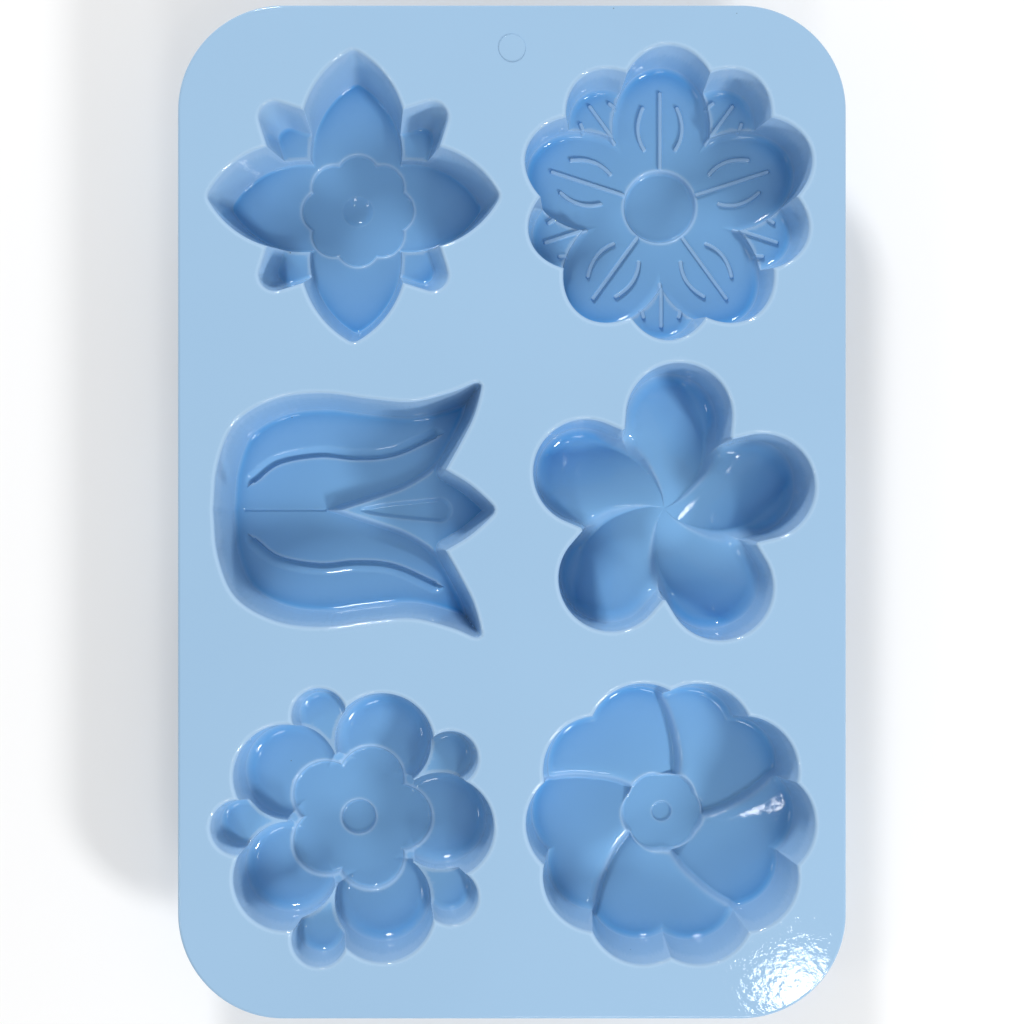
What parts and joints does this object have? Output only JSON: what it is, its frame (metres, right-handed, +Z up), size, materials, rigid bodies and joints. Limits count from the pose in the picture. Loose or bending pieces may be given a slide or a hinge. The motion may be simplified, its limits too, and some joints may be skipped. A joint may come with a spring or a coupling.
{
  "type": "soap mould",
  "caption": "Thin flexible soap mould: a flat sheet with rounded corners and flower-shaped cups that hang below it, each one a cavity open at the top.",
  "frame": {"origin": "on the plane that the cups stand on, below the middle of the sheet", "axes": "+Z up out of the open cavities, +Y along the sheet's length towards the round pip, +X across the sheet to the right"},
  "size_m": [0.1714, 0.26, 0.0273],
  "materials": {
    "silicone": "gloss"
  },
  "bodies": {
    "root": {"top_sheet": "silicone", "lotus_cup": "silicone", "daisy_cup": "silicone", "tulip_cup": "silicone", "pinwheel_cup": "silicone", "rosette_cup": "silicone", "blossom_cup": "silicone"}
  },
  "joints": []
}
